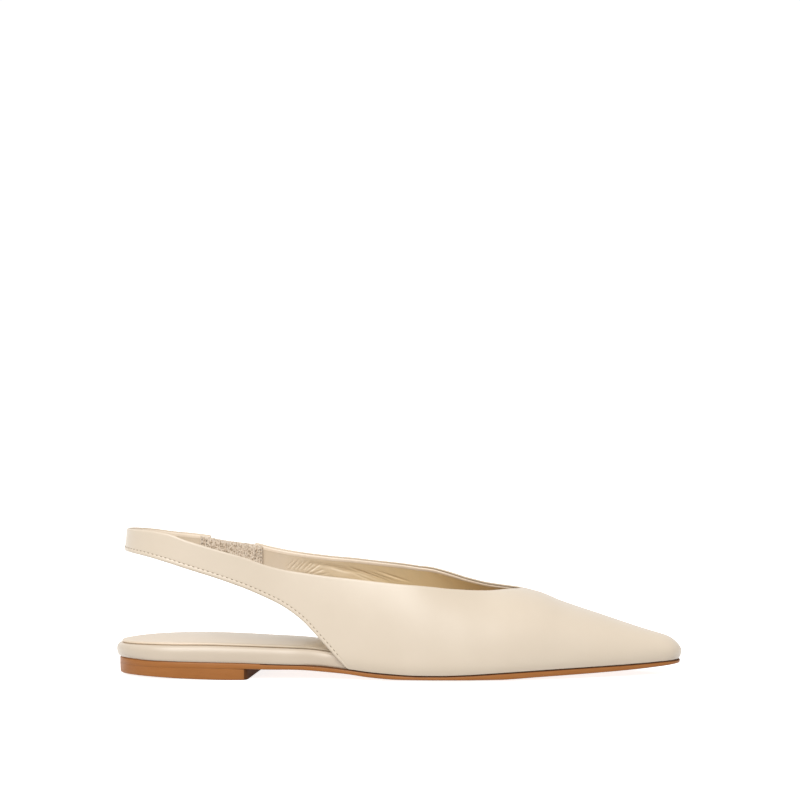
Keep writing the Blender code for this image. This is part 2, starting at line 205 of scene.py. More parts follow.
def skin(rings):
    """Closed body through rings of equal count, with a cap at either end."""
    bm = bmesh.new()
    grid = [[bm.verts.new(point) for point in ring] for ring in rings]
    for ring, following in zip(grid, grid[1:]):
        for k in range(len(ring)):
            bm.faces.new((ring[k - 1], ring[k], following[k], following[k - 1]))
    for ring in (grid[0], grid[-1]):
        for k in range(len(ring) // 2 - 1):
            bm.faces.new((ring[k], ring[k + 1], ring[-2 - k], ring[-1 - k]))
        if len(ring) % 2:
            middle = len(ring) // 2
            bm.faces.new(ring[middle - 1 : middle + 2])
    bmesh.ops.recalc_face_normals(bm, faces=bm.faces)
    return bm


def widest(side):
    stations = slab_stations(SOLE_START, SOLE_END, CAD_SOLE_STATIONS)
    return max(half_width(x, side, SOLE_START, SOLE_END, 0.0) for x in stations)


low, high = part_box("outsole")
seat = Vector((0, 0, 0))
seat.x = (low[0] + high[0] - SOLE_START - SOLE_END) / 2
seat.y = (low[1] + high[1] - widest(MEDIAL) + widest(LATERAL)) / 2


def add_piece(name, bm, *surfaces):
    """Smooth-shaded piece of the shoe, moved from the last's own place to the frame's."""
    bmesh.ops.translate(bm, verts=bm.verts, vec=seat)
    mesh = bpy.data.meshes.new(name)
    bm.to_mesh(mesh)
    bm.free()
    mesh.shade_smooth()
    mesh.set_sharp_from_angle(angle=SHARP_CORNER)
    for surface in surfaces:
        mesh.materials.append(surface)
    piece = bpy.data.objects.new(name, mesh)
    bpy.context.scene.collection.objects.link(piece)
    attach(piece, "root")
    return piece


def place(tree, kind, inputs, **settings):
    """Node of this kind, with its settings made and each input set or linked."""
    node = tree.nodes.new(kind)
    for name, value in settings.items():
        setattr(node, name, value)
    for name, value in inputs.items():
        if isinstance(value, bpy.types.NodeSocket):
            tree.links.new(value, node.inputs[name])
        else:
            node.inputs[name].default_value = value
    return node


def new_surface(name):
    """Material, with its node tree and its shader."""
    made = bpy.data.materials.new(name)
    made.use_nodes = True
    return made, made.node_tree, made.node_tree.nodes["Principled BSDF"]


def emboss(tree, shader, height, strength, depth):
    """Fine relief of a surface."""
    inputs = {"Strength": strength, "Distance": depth, "Height": height}
    bump = place(tree, "ShaderNodeBump", inputs)
    tree.links.new(bump.outputs[0], shader.inputs["Normal"])


def blend(tree, share, first, second):
    """Colour between two others, by a share that changes over the surface."""
    mix = place(tree, "ShaderNodeMix", {0: share}, data_type="RGBA")
    for socket, colour in ((mix.inputs[6], first), (mix.inputs[7], second)):
        if isinstance(colour, bpy.types.NodeSocket):
            tree.links.new(colour, socket)
        else:
            socket.default_value = (*colour, 1)
    return mix.outputs[2]


def spread(tree, value, low, high, to_low, to_high):
    """Value carried from one range to another, held at its ends."""
    node = place(tree, "ShaderNodeMapRange", {0: value, 1: low, 2: high, 3: to_low, 4: to_high})
    return node.outputs[0]


def new_group(name, inputs, outputs):
    """Empty shader group with named value sockets."""
    group = bpy.data.node_groups.new(name, "ShaderNodeTree")
    for label, value in inputs.items():
        socket = group.interface.new_socket(label, in_out="INPUT", socket_type="NodeSocketFloat")
        socket.default_value = value
    for label in outputs:
        group.interface.new_socket(label, in_out="OUTPUT", socket_type="NodeSocketFloat")
    given, result = group.nodes.new("NodeGroupInput"), group.nodes.new("NodeGroupOutput")
    return group, given.outputs, result.inputs


def sole_fibre():
    """Waxed cut edge of sole leather: fine fibres that lie flat, and slow changes of dye."""
    group, given, result = new_group("sole_fibre", {"Fibres": 900.0}, ("Height", "Dye"))
    place_on = group.nodes.new("ShaderNodeTexCoord").outputs["Object"]
    flat = place(group, "ShaderNodeMapping", {"Vector": place_on, "Scale": (0.12, 0.12, 1.0)})
    fibres = place(
        group,
        "ShaderNodeTexNoise",
        {"Vector": flat.outputs[0], "Scale": given["Fibres"], "Detail": 3.0, "Roughness": 0.6},
    )
    dye = place(group, "ShaderNodeTexNoise", {"Vector": place_on, "Scale": 60.0, "Detail": 4.0})
    both = {0: fibres.outputs[0], 1: dye.outputs[0]}
    mixed = place(group, "ShaderNodeMath", both, operation="ADD")
    group.links.new(fibres.outputs[0], result["Height"])
    group.links.new(spread(group, mixed.outputs[0], 0.75, 1.25, 0.0, 1.0), result["Dye"])
    return group


fibre_group = sole_fibre()


def waxed_leather(name, bright, deep, roughness, wax):
    made, tree, shader = new_surface(name)
    fibre = place(tree, "ShaderNodeGroup", {}, node_tree=fibre_group)
    colour = blend(tree, fibre.outputs["Dye"], deep, bright)
    tree.links.new(colour, shader.inputs["Base Color"])
    rough, smooth = roughness + WAX_UNEVEN, roughness - WAX_UNEVEN
    worn = spread(tree, fibre.outputs["Dye"], 0.0, 1.0, rough, smooth)
    tree.links.new(worn, shader.inputs["Roughness"])
    emboss(tree, shader, fibre.outputs["Height"], FIBRE_RELIEF, FIBRE_DEPTH)
    shader.inputs["Specular IOR Level"].default_value = WAX_GLOSS * wax
    shader.inputs["Coat Weight"].default_value = WAX_COAT * wax
    shader.inputs["Coat Roughness"].default_value = WAX_COAT_ROUGHNESS
    return made


def sole_flank(x):
    low, high = sole_bottom(x), sole_top(x)
    rise = SOLE_EDGE_RISE * smooth_step(x, RISE_STARTS, RISE_FULL)
    soft = HEEL_SOFTNESS + (1 - HEEL_SOFTNESS) * smooth_step(x, EDGE_SOFTENS, EDGE_SOFT)
    blunt = TIP_BLUNT * smooth_step(x, SOLE_END - TIP_REACH, SOLE_END)
    rows = []
    for inset in TREAD_INSETS:
        eased = (TREAD_INSETS[0] * MM - inset * MM) / TREAD_EASE
        rows.append((inset * MM, low + rise * max(eased**2, blunt)))
    rows += [(inset * MM * soft, low + rise + height * MM * soft) for inset, height in LOWER_CORNER]
    return rows + [(inset * MM, high - depth * MM) for inset, depth in UPPER_CORNER]


on_edge = {LATERAL: 0.0, MEDIAL: 0.0}
stations = slab_stations(SOLE_START, SOLE_END, SOLE_STATIONS)
bm = skin([slab_ring(x, SOLE_START, SOLE_END, on_edge, sole_flank(x)) for x in stations])
# Ahead of the waist the top of the edge takes the dark colour: edge ink with painted shade under
# the upper.
for face in bm.faces:
    middle = face.calc_center_median()
    by_upper = middle.z > sole_top(middle.x) - INK_AND_SHADE_BAND
    face.material_index = int(by_upper and middle.x > INK_AND_SHADE_FROM_X)
waxed_sole = waxed_leather("waxed_sole", SOLE_TAN, SOLE_DEEP_TAN, roughness=0.45, wax=0.7)
inked_shaded_edge = waxed_leather("inked_shaded_edge", SOLE_INK_AND_SHADE, SOLE_DEEP_INK_AND_SHADE, roughness=0.8, wax=0.2)
sole = add_piece("outsole_leather", bm, waxed_sole, inked_shaded_edge)
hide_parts("outsole")


# Heel
# Low block of the same tan leather under the heel seat, its side ground flush with the sole's edge.
# It stands flat by its breast and is eased up towards the back; it is nailed from inside. Its
# breast is dark as far as its round corners: dark edge ink, and painted shade of the breast.
BREAST_X = 0.249 * LENGTH
BREAST_SKEW, SKEW_POWER = math.tan(math.radians(7)), 4
BREAST_ROUND, BREAST_INK_AND_SHADE = 3 * MM, 1.4 * MM
HEEL_STATIONS, BREAST_STEPS, CORNER_STEPS = 60, 6, 5
HEEL_TIP = 0.0005
HEEL_LIFT = 1.2 * MM
HEEL_FLAT_X, HEEL_LIFTED_X = 58 * MM, 7 * MM
HEEL_DRAFT, DRAFT_LEFT, DRAFT_TURNS_AT = 0.15 * MM, 0.4, 0.6
HEEL_CORNER, HEEL_UNDER = 0.55 * MM, 6 * MM
HEEL_JOINT = 0.02 * MM


def heel_flank(x, rounding):
    low = HEEL_LIFT * smooth_step(HEEL_FLAT_X - x, 0, HEEL_FLAT_X - HEEL_LIFTED_X)
    high = sole_bottom(x) - HEEL_JOINT
    rows = [(HEEL_UNDER + rounding, low)]
    for turn in steps(0, math.pi / 2, CORNER_STEPS):
        inset = HEEL_CORNER * (1 - math.sin(turn)) + HEEL_DRAFT + rounding
        rows.append((inset, low + HEEL_CORNER * (1 - math.cos(turn))))
    rows.append((DRAFT_LEFT * HEEL_DRAFT + rounding, low + DRAFT_TURNS_AT * (high - low)))
    return rows + [(rounding, high)]


heel_rings = []
for share in steps(0, 1, HEEL_STATIONS):
    along = HEEL_TIP + (1 - HEEL_TIP) * share**2
    heel_rings.append((SOLE_START + (BREAST_X - BREAST_ROUND - SOLE_START) * along, 0.0))
for turn in steps(0, math.pi / 2, BREAST_STEPS)[1:]:
    ahead = BREAST_ROUND * math.sin(turn)
    heel_rings.append((BREAST_X - BREAST_ROUND + ahead, BREAST_ROUND * (1 - math.cos(turn))))
rings = []
for x, rounding in heel_rings:
    ring = slab_ring(x, SOLE_START, SOLE_END, on_edge, heel_flank(x, rounding))
    for point in ring:
        point.x += BREAST_SKEW * point.y * (x / BREAST_X) ** SKEW_POWER
    rings.append(ring)
bm = skin(rings)
# The breast and its round corners take the dark colour: edge ink with painted shade of the breast.
for face in bm.faces:
    middle = face.calc_center_median()
    face.material_index = int(middle.x - BREAST_SKEW * middle.y > BREAST_X - BREAST_INK_AND_SHADE)
waxed_heel = waxed_leather("waxed_heel", SOLE_TAN, SOLE_DEEP_TAN, roughness=0.45, wax=0.7)
heel = add_piece("heel_block", bm, waxed_heel, inked_shaded_edge)
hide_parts("heel")


# Insole
# Footbed board wrapped in cream leather, whose soft round edge shows as a band above the heel.
# Ahead of the waist it narrows and runs inside the upper, which is lasted under it.
INSOLE_START, INSOLE_END = 0.9 * MM, LENGTH - 8 * MM
INSOLE_SPREAD, INSOLE_INSET = 0.6 * MM, -1.2 * MM
INSOLE_TURNS_IN, INSOLE_TURNED_IN = 82 * MM, 97 * MM
ENCLOSED_FROM, ENCLOSED_TO = 98 * MM, 114 * MM
ENCLOSED_EDGE = 0.7
BODY_ROOM = 0.27
INSOLE_STATIONS = 170
INSOLE_JOINT = 0.05 * MM
WIDEST_AT, SIDE_UNDER = 0.56, 0.35
UNDER_BACK, UNDER_SIDE = 4 * MM, 20 * MM
INSOLE_EDGE = (
    (1.7 * MM, 0.0),
    (0.7 * MM, 0.1),
    (0.15 * MM, 0.33),
    (0.0, 0.56),
    (0.25 * MM, 0.77),
    (0.9 * MM, 0.93),
    (2.1 * MM, 1.0),
)
INSOLE_EDGE_PARTS = 4
CREAM, PALE_CREAM = (0.64, 0.527, 0.403), (0.668, 0.555, 0.427)
CELL_RIM, CELL_SHARE, GRAIN_DEPTH = 0.22, 0.45, 0.1 * MM
SHEEN_UNEVEN, LEATHER_GLOSS, LEATHER_COAT, LEATHER_COAT_ROUGHNESS = 0.04, 0.7, 0.6, 0.35


def rounded(rows, parts):
    """The same rows with points between them, on a smooth line through all of them."""
    made = []
    last = len(rows) - 1
    for k in range(last):
        around = zip(rows[max(k - 1, 0)], rows[k], rows[k + 1], rows[min(k + 2, last)])
        bends = [
            (b, c - a, 2 * a - 5 * b + 4 * c - d, 3 * (b - c) + d - a) for a, b, c, d in around
        ]
        for t in steps(0, 1, parts)[:-1]:
            made.append(tuple(b + 0.5 * t * (p + t * (q + t * r)) for b, p, q, r in bends))
    return made + [rows[last]]


def leather_grain():
    """Fine grain of finished calf: small flat cells with pores between them, and slow tones."""
    inputs = {"Cells": 1500.0, "Tone Size": 40.0}
    group, given, result = new_group("leather_grain", inputs, ("Height", "Tone"))
    place_on = group.nodes.new("ShaderNodeTexCoord").outputs["Object"]
    cells = place(
        group,
        "ShaderNodeTexVoronoi",
        {"Vector": place_on, "Scale": given["Cells"]},
        feature="DISTANCE_TO_EDGE",
    )
    flat_cells = spread(group, cells.outputs["Distance"], 0.0, CELL_RIM, 0.0, 1.0)
    noise = {"Vector": place_on, "Scale": given["Cells"], "Detail": 4.0}
    pores = place(group, "ShaderNodeTexNoise", noise)
    relief = {0: flat_cells, 1: CELL_SHARE, 2: pores.outputs[0]}
    height = place(group, "ShaderNodeMath", relief, operation="MULTIPLY_ADD")
    tone = place(
        group,
        "ShaderNodeTexNoise",
        {"Vector": place_on, "Scale": given["Tone Size"], "Detail": 3.0, "Roughness": 0.55},
    )
    group.links.new(height.outputs[0], result["Height"])
    group.links.new(spread(group, tone.outputs[0], 0.3, 0.7, 0.0, 1.0), result["Tone"])
    return group


grain_group = leather_grain()


def soft_leather(name, first, second, roughness, grain, cells):
    made, tree, shader = new_surface(name)
    leather = place(tree, "ShaderNodeGroup", {}, node_tree=grain_group)
    leather.inputs["Cells"].default_value = cells
    colour = blend(tree, leather.outputs["Tone"], first, second)
    tree.links.new(colour, shader.inputs["Base Color"])
    dull, bright = roughness + SHEEN_UNEVEN, roughness - SHEEN_UNEVEN
    sheen = spread(tree, leather.outputs["Tone"], 0.0, 1.0, dull, bright)
    tree.links.new(sheen, shader.inputs["Roughness"])
    emboss(tree, shader, leather.outputs["Height"], grain, GRAIN_DEPTH)
    shader.inputs["Specular IOR Level"].default_value = LEATHER_GLOSS
    shader.inputs["Coat Weight"].default_value = LEATHER_COAT
    shader.inputs["Coat Roughness"].default_value = LEATHER_COAT_ROUGHNESS
    return made


def insole_spread(x, side):
    turned = smooth_step(x, INSOLE_TURNS_IN, INSOLE_TURNED_IN)
    room = BODY_ROOM * medial_body(x) if side == MEDIAL else 0.0
    return INSOLE_SPREAD + (INSOLE_INSET + room - INSOLE_SPREAD) * turned


def open_edge(x):
    """Share of the round edge that is left: all of it at the heel, little inside the upper."""
    return 1 - ENCLOSED_EDGE * smooth_step(x, ENCLOSED_FROM, ENCLOSED_TO)


def insole_flank(x):
    low, high = sole_top(x) + INSOLE_JOINT, footbed(x)
    under = 1 - (1 - SIDE_UNDER) * smooth_step(x, UNDER_BACK, UNDER_SIDE)
    rows = []
    for inset, share in rounded(INSOLE_EDGE, INSOLE_EDGE_PARTS):
        kept = under if share < WIDEST_AT else 1
        rows.append((inset * open_edge(x) * kept, low + (high - low) * share))
    return rows


rings = []
for x in slab_stations(INSOLE_START, INSOLE_END, INSOLE_STATIONS):
    spreads = {side: insole_spread(x, side) for side in (LATERAL, MEDIAL)}
    rings.append(slab_ring(x, INSOLE_START, INSOLE_END, spreads, insole_flank(x)))
wrapped_cream = soft_leather(
    "wrapped_cream", CREAM, PALE_CREAM, roughness=0.42, grain=0.10, cells=1500
)
insole = add_piece("insole_wrap", skin(rings), wrapped_cream)
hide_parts("insole")


# Sock
# Cream lining leather over thin foam, cut a little smaller than the footbed and glued on it.
# Its soft edge leaves the fine dark seam that shows along the heel.
# Its forward part is painted darker, as the shade under the vamp and the quarters.
SOCK_START, SOCK_END = 3.3 * MM, LENGTH - 12 * MM
SOCK_INSET = 2.4 * MM
SOCK_DOME, DOME_WIDTH = 0.9 * MM, 36 * MM
SOCK_JOINT, SOCK_THICKNESS = 0.12 * MM, 1.28 * MM
SOCK_STATIONS = 150
SOCK_EDGE = ((0.5 * MM, 0.0), (0.1 * MM, 0.18), (0.0, 0.4), (0.3 * MM, 0.85), (1.3 * MM, 1.0))
SOCK_EDGE_PARTS, SOCK_ACROSS = 3, 16
SOCK_CREAM, SOCK_PALE = (0.74, 0.598, 0.443), (0.777, 0.635, 0.474)
# Painted shade: the sock's colour darkens towards the toe, as the shade under the vamp and
# quarters.
SOCK_PAINTED_SHADE = (0.46, 0.368, 0.252)
SOCK_SHADES_X, SOCK_PAINTED_SHADE_X = 36 * MM, 90 * MM


def toeward():
    """Share of the way between two places along the shoe, from the heel's side to the toe's."""
    group, given, result = new_group("toeward", {"From": 0.0, "To": 1.0}, ("Share",))
    place_on = group.nodes.new("ShaderNodeTexCoord").outputs["Object"]
    ahead = place(group, "ShaderNodeSeparateXYZ", {0: place_on}).outputs[0]
    group.links.new(spread(group, ahead, given["From"], given["To"], 0.0, 1.0), result["Share"])
    return group


toeward_group = toeward()


def deepen(made, colour, from_x, to_x):
    """Let a leather's colour change to this one between two places along the shoe."""
    tree = made.node_tree
    base = tree.nodes["Principled BSDF"].inputs["Base Color"]
    share = place(tree, "ShaderNodeGroup", {}, node_tree=toeward_group)
    share.inputs["From"].default_value = from_x + seat.x
    share.inputs["To"].default_value = to_x + seat.x
    tree.links.new(blend(tree, share.outputs[0], base.links[0].from_socket, colour), base)


def sock_flank(x):
    low = footbed(x) + SOCK_JOINT
    edge = rounded(SOCK_EDGE, SOCK_EDGE_PARTS)
    return [(inset * open_edge(x), low + SOCK_THICKNESS * share) for inset, share in edge]


rings = []
for x in slab_stations(SOCK_START, SOCK_END, SOCK_STATIONS):
    inset = SOCK_INSET * open_edge(x)
    near, far = (
        flank_points(x, side, SOCK_START, SOCK_END, insole_spread(x, side) - inset, sock_flank(x))
        for side in (LATERAL, MEDIAL)
    )
    crown = SOCK_DOME * smooth_step((far[-1] - near[-1]).length, 0, DOME_WIDTH)
    dome = []
    for share in steps(0, 1, SOCK_ACROSS)[1:-1]:
        rise = crown * (1 - (2 * share - 1) ** 2)
        dome.append(near[-1].lerp(far[-1], share) + Vector((0, 0, rise)))
    rings.append(near + dome + far[::-1])
sock_cream = soft_leather(
    "sock_cream", SOCK_CREAM, SOCK_PALE, roughness=0.5, grain=0.12, cells=1400
)
# Painted shade on the sock's forward part, under the vamp and the quarters.
deepen(sock_cream, SOCK_PAINTED_SHADE, SOCK_SHADES_X, SOCK_PAINTED_SHADE_X)
sock = add_piece("sock_pad", skin(rings), sock_cream)
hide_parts("sock")


# Upper
# One piece of smooth cream leather: pointed vamp, both quarters and the sling strap that runs on
# from the outer quarter round the heel. It is lasted over the sole, with every cut edge folded in.
VAMP_HEIGHT = 40.05 * MM
STRAP_HEIGHT = 67.57 * MM
SEAM = 0.3 * MM
LEATHER = 1.0 * MM
FOLD_ROUND = 0.9 * MM
FOLD_DEPTH = 1.2 * MM
THROAT_X = 0.714 * LENGTH
COLLAR_X = 0.536 * LENGTH
TOE_X = 0.965 * LENGTH
HEEL_X = 0.174 * LENGTH
CORNER_X = 0.413 * LENGTH
CORNER_RAMP = 3 * MM
STRAP_END_TURN = math.radians(6.5)
STRAP_END_REACH = 27 * MM
QUARTER_END_X = 63.2 * MM
FULLNESS = 2.2
OVERHANG = 1.3 * MM
TUCK, TOE_TUCK = 1.2 * MM, 2.2 * MM
TUCK_HEIGHT = 6 * MM
BODY_HEIGHT = 24 * MM
THROAT_FLARE = {LATERAL: 0.75, MEDIAL: 0.64}
THROAT_ROUND, THROAT_FADE = 4 * MM, 4
STRAP_BACK_X = 4.2 * MM
STRAP_SHARE = 0.955
STRAP_POWER = 2.1
EDGE_PUFF, PUFF_FULL = 0.12 * MM, 0.2 * MM
STITCH_GROOVE = 0.10 * MM
STITCH_LINE = 1.1 * MM
GROOVE_WIDTH = 0.24 * MM
UPPER_CREAM, UPPER_PALE = (0.742, 0.621, 0.478), (0.772, 0.651, 0.506)
EDGE_CREAM, EDGE_TAN = (0.62, 0.50, 0.37), (0.38, 0.28, 0.175)
EDGE_CREAM_X, EDGE_TAN_X = 78 * MM, 155 * MM
# The bead is painted lighter than the cream leather it is folded from: a painted highlight.
BEAD_HIGHLIGHT_CREAM, BEAD_HIGHLIGHT_PALE = (0.86, 0.715, 0.555), (0.89, 0.745, 0.585)

# Ridge of the last, over the toes and up the instep: heights in % of VAMP_HEIGHT
Ridge = namedtuple("Ridge", "station height")
RIDGE = (
    Ridge(17.4, 355.3),
    Ridge(25.4, 265.4),
    Ridge(32, 222.5),
    Ridge(41, 202.1),
    Ridge(50, 177.6),
    Ridge(55, 151.6),
    Ridge(59, 130.2),
    Ridge(62.5, 115.9),
    Ridge(66, 106.7),
    Ridge(69.5, 102),
    Ridge(71.4, 100),
    Ridge(74.9, 94.2),
    Ridge(78.4, 84.7),
    Ridge(85.5, 68.9),
    Ridge(92.6, 53.3),
    Ridge(96.5, 45.6),
)

# Cut edges: lower edge and topline on either side, heights in % of STRAP_HEIGHT
Edge = namedtuple("Edge", "station lateral_low lateral_top medial_low medial_top")
EDGES = (
    Edge(1.5, 85, 100, 85, 100),
    Edge(5.5, 82.9, 99.8, 82.8, 98),
    Edge(9.5, 79.3, 98.2, 80.1, 95.5),
    Edge(13, 75.3, 93.9, 77.8, 94),
    Edge(18, 69.3, 88.1, 72.9, 91.4),
    Edge(23, 62.5, 82.6, 67.3, 88.5),
    Edge(27, 55.8, 77, 60.6, 84.8),
    Edge(30, 49.9, 74, 53.3, 82.5),
    Edge(33.5, 39.9, 71.8, 43, 80.4),
    Edge(36, 29.6, 70.4, 31.9, 79.2),
    Edge(38.3, 19.6, 69.3, 20.2, 78.2),
    Edge(41.3, 7, 68.2, 7, 77.2),
    Edge(45, 0, 66.7, 0, 75.5),
    Edge(50, 0, 64.8, 0, 73.3),
    Edge(53.6, 0, 63.7, 0, 71.5),
)

ridge = curve(RIDGE, "height", VAMP_HEIGHT)
low_edge = {
    LATERAL: curve(EDGES, "lateral_low", STRAP_HEIGHT),
    MEDIAL: curve(EDGES, "medial_low", STRAP_HEIGHT),
}
topline = {
    LATERAL: curve(EDGES, "lateral_top", STRAP_HEIGHT),
    MEDIAL: curve(EDGES, "medial_top", STRAP_HEIGHT),
}

# Mesh of a wall: columns from the toe tip back, and rows between those that lie close to the edges.
# The fine rows share the stretch below the topline, FINE_REACH deep or FINE_SHARE of a low wall.
Net = namedtuple(
    "Net", "toe vamp throat collar strap heel strap_end inner_collar inner_quarter rows fine_rows"
)
LEATHER_NET = Net(24, 44, 28, 40, 66, 36, 30, 40, 50, 18, 0)
FINE_REACH, FINE_SHARE = 13 * MM, 0.8
WALL_SAMPLES, REACH_HALVINGS = 100, 40
TOE_FARTHEST, RIDGE_NUDGE = 0.1 * LENGTH, 6 * MM
LOW_ROWS = [row * MM for row in (0, 0.25, 0.5, 0.75, 0.95, 1.1, 1.25, 1.45, 1.75, 2.2, 2.9)]
TOP_ROWS = [row * MM for row in (2.6, 1.8, 1.1, 0.6, 0.25, 0)]
STITCH_ROW = LOW_ROWS.index(STITCH_LINE)

Section = namedtuple("Section", "origin heading reach body tuck base crown slope")
Column = namedtuple("Column", "section low high trim_low trim_top fold")


def side_section(x, side):
    body = medial_body(x) if side == MEDIAL else 0.0
    reach = half_plan[side](x) + OVERHANG + body
    base = sole_top(x) + SEAM
    return Section(Vector((x, 0, 0)), Vector((0, side, 0)), reach, body, TUCK, base, ridge(x), 0)


def toe_reach(side, turn):
    """Distance from the toe's pole to the plan outline, at this turn ahead from the side."""
    near, far = 0.0, TOE_FARTHEST
    for _ in range(REACH_HALVINGS):
        reach = (near + far) / 2
        ahead = min(TOE_X + reach * math.sin(turn), LENGTH)
        inside = reach * math.cos(turn) < half_width(ahead, side, 0, LENGTH, OVERHANG)
        inside = inside and TOE_X + reach * math.sin(turn) < LENGTH
        near, far = (reach, far) if inside else (near, reach)
    return near


def toe_section(side, turn):
    """Section turned from the side towards the toe tip."""
    heading = Vector((math.sin(turn), side * math.cos(turn), 0))
    reach = toe_reach(side, turn)
    base = sole_top(TOE_X + heading.x * reach) + SEAM
    slope = (ridge(TOE_X) - ridge(TOE_X - RIDGE_NUDGE)) / RIDGE_NUDGE * heading.x
    tuck = TUCK + (TOE_TUCK - TUCK) * math.sin(turn)
    return Section(Vector((TOE_X, 0, 0)), heading, reach, 0.0, tuck, base, ridge(TOE_X), slope)


def heel_section(side, turn):
    """Section turned towards the heel back, where the strap stands off the footbed."""
    aside, behind = math.cos(turn), math.sin(turn)
    flank = side_section(HEEL_X, side)
    back_reach = (HEEL_X - STRAP_BACK_X) / STRAP_SHARE
    nearness = (behind / back_reach) ** STRAP_POWER + (aside / flank.reach) ** STRAP_POWER
    heading = Vector((-behind, side * aside, 0))
    return flank._replace(heading=heading, reach=nearness ** (-1 / STRAP_POWER))


def wall_point(section, angle):
    across = max(math.cos(angle), 0) ** (2 / FULLNESS)
    rise = math.sin(angle) ** (2 / FULLNESS)
    out = section.reach * across
    height = (section.crown + section.slope * out - section.base) * rise
    out -= section.tuck * max(0, 1 - height / TUCK_HEIGHT) ** 2
    out -= section.body * max(0, 1 - height / BODY_HEIGHT) ** 2
    return section.origin + section.heading * out + Vector((0, 0, section.base + height))


def angle_at(section, height):
    rise = (height - section.base) / (section.crown - section.base)
    return math.asin(min(max(rise, 0), 1) ** (FULLNESS / 2))


def whole_column(section):
    return Column(section, 0, math.pi / 2, 0, 0, 0)


def throat_column(share, side, trim):
    """Column up to the throat's rim, a rounded V that opens from its point back to the collar."""
    behind = (THROAT_X + trim - COLLAR_X) * share
    collar = side_section(COLLAR_X, side)
    collar_half = wall_point(collar, angle_at(collar, topline[side](COLLAR_X))).y * side
    straight = collar_half * share * (1 + THROAT_FLARE[side] * (1 - share))
    half = math.sqrt(straight**2 + 2 * THROAT_ROUND * behind * (1 - share) ** THROAT_FADE)
    section = side_section(THROAT_X + trim - behind, side)
    return Column(section, 0, math.acos((half / section.reach) ** (FULLNESS / 2)), 0, trim, 0)


def cut_column(section, side, trim):
    """Column between the lower edge and the topline."""
    half_way = (low_edge[side](section.origin.x) + STRAP_HEIGHT) / 2
    middle = wall_point(section, angle_at(section, half_way))
    low = angle_at(section, low_edge[side](middle.x))
    high = angle_at(section, topline[side](middle.x))
    fold = smooth_step(CORNER_X - section.origin.x, 0, CORNER_RAMP)
    return Column(section, low, high, trim * fold, trim, fold)


def side_columns(side, trim, net):
    """Columns of one side from the toe tip back, all cut edges drawn in by the trim."""
    turns = steps(math.pi / 2, 0, net.toe)[:-1]
    columns = [whole_column(toe_section(side, turn)) for turn in turns]
    stations = steps(TOE_X, THROAT_X + trim, net.vamp)
    columns += [whole_column(side_section(x, side)) for x in stations]
    columns += [throat_column(share**2, side, trim) for share in steps(0, 1, net.throat)[1:-1]]
    if side == MEDIAL:
        stations = steps(COLLAR_X, CORNER_X, net.inner_collar)
        stations += steps(CORNER_X, QUARTER_END_X + trim, net.inner_quarter)[1:]
        return columns + [cut_column(side_section(x, side), side, trim) for x in stations]
    stations = steps(COLLAR_X, CORNER_X, net.collar) + steps(CORNER_X, HEEL_X, net.strap)[1:]
    columns += [cut_column(side_section(x, side), side, trim) for x in stations]
    turns = steps(0, math.pi / 2, net.heel)[1:]
    columns += [cut_column(heel_section(side, turn), side, trim) for turn in turns]
    turns = steps(math.pi / 2, STRAP_END_TURN + trim / STRAP_END_REACH, net.strap_end)[1:]
    return columns + [cut_column(heel_section(MEDIAL, turn), MEDIAL, trim) for turn in turns]


def runs_along(points):
    """Distance of each point from the first one, along the line through all of them."""
    runs = [0.0]
    for point, following in zip(points, points[1:]):
        runs.append(runs[-1] + (following - point).length)
    return runs


def column_points(column, net):
    """Points up one column, spaced along the wall itself."""
    angles = steps(column.low, column.high, WALL_SAMPLES)
    runs = runs_along([wall_point(column.section, angle) for angle in angles])
    first, last = column.trim_low, runs[-1] - column.trim_top
    heights = [first + row for row in LOW_ROWS]
    lowest, highest = first + LOW_ROWS[-1], last - TOP_ROWS[0]
    fine = min(FINE_REACH, FINE_SHARE * (highest - lowest)) if net.fine_rows else 0.0
    heights += steps(lowest, highest - fine, net.rows)[1:-1]
    heights += steps(highest - fine, highest, net.fine_rows)[:-1] if net.fine_rows else []
    heights += [last - row for row in TOP_ROWS]
    made = []
    k = 0
    for height in heights:
        while k < len(runs) - 2 and runs[k + 1] < height:
            k += 1
        share = (height - runs[k]) / (runs[k + 1] - runs[k])
        made.append(wall_point(column.section, angles[k] + (angles[k + 1] - angles[k]) * share))
    return made


